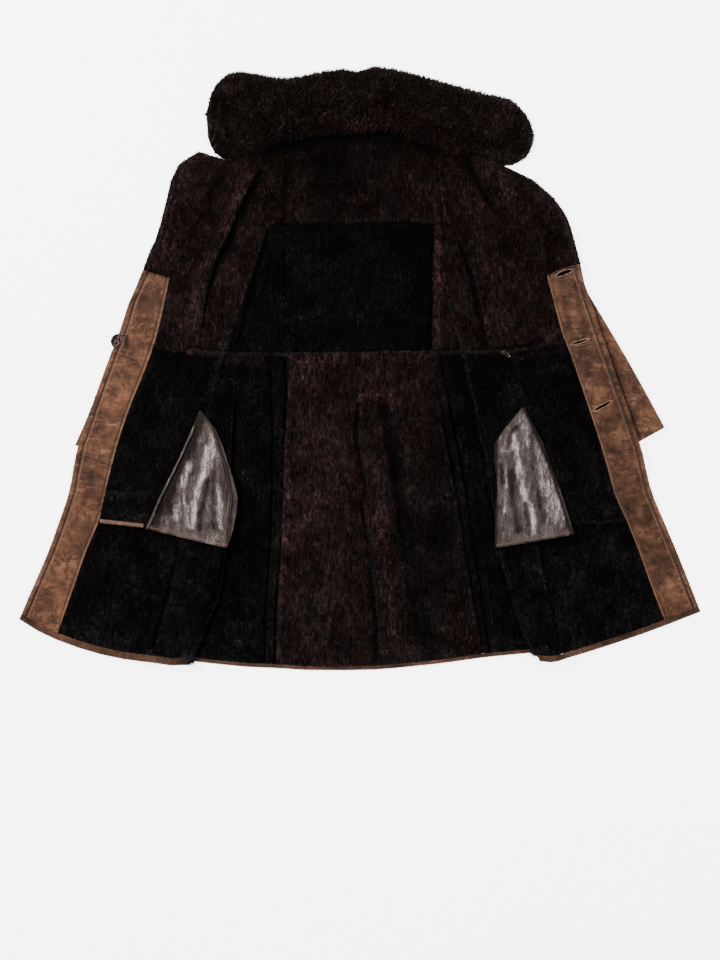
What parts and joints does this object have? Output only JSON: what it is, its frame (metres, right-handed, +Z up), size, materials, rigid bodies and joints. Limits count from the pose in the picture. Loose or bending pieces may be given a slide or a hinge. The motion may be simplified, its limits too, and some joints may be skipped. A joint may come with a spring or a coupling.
{
  "type": "shearling coat",
  "caption": "Long shearling coat laid open on its back with the fur up, with a thick fur collar, suede front facings, leather pocket bags and sleeves folded flat beneath.",
  "frame": {"origin": "on the floor under the middle of the laid-out coat's bounding box", "axes": "+X to the wearer's left, +Y towards the collar, +Z up from the floor; the fur side faces +Z and the suede side faces the floor"},
  "size_m": [1.1952, 1.057, 0.0395],
  "materials": {
    "fur_brown": "clipped dark brown sheepskin fur",
    "fur_black": "clipped near-black sheepskin fur",
    "collar_fur": "thick soft olive brown fur",
    "suede": "worn brown suede",
    "pocket_leather": "thin glossy creased leather",
    "horn": "dark braided leather",
    "wire": "bent wire"
  },
  "bodies": {
    "root": {"back_centre_upper": "fur_black", "back_side_upper_l": "fur_brown", "back_side_upper_r": "fur_black", "back_yoke": "fur_brown", "button_knot_r": "horn", "button_r_1": "horn", "button_r_2": "horn", "button_r_3": "horn", "collar": "collar_fur", "collar_stand": "fur_brown", "facing_lower_l": "suede", "facing_lower_r": "suede", "facing_middle_r": "suede", "facing_upper_l": "suede", "facing_upper_r": "suede", "front_hem_l": "fur_black", "front_hem_r": "fur_black", "front_middle_l": "fur_black", "front_middle_r": "fur_black", "front_upper_l": "fur_brown", "front_upper_r": "fur_brown", "gore_l": "fur_black", "gore_r": "fur_black", "hem_back": "suede", "hem_front_l": "suede", "hem_front_r": "suede", "hem_gore_l": "suede", "hem_gore_r": "suede", "pocket_edging_r": "pocket_leather", "pocket_ply_top_l": "pocket_leather", "pocket_ply_top_r": "pocket_leather", "pocket_ply_under_l": "pocket_leather", "pocket_ply_under_r": "pocket_leather", "side_fold_l": "fur_black", "side_fold_r": "fur_black", "skirt_centre_l": "fur_brown", "skirt_centre_r": "fur_brown", "skirt_side_l": "fur_black", "skirt_side_r": "fur_black", "sleeve_top_l": "suede", "sleeve_top_r": "suede", "sleeve_under_l": "suede", "sleeve_under_r": "suede", "stay_tape_r": "suede", "underarm_l": "fur_brown", "underarm_r": "fur_brown", "waist_loop_l": "wire"}
  },
  "joints": []
}
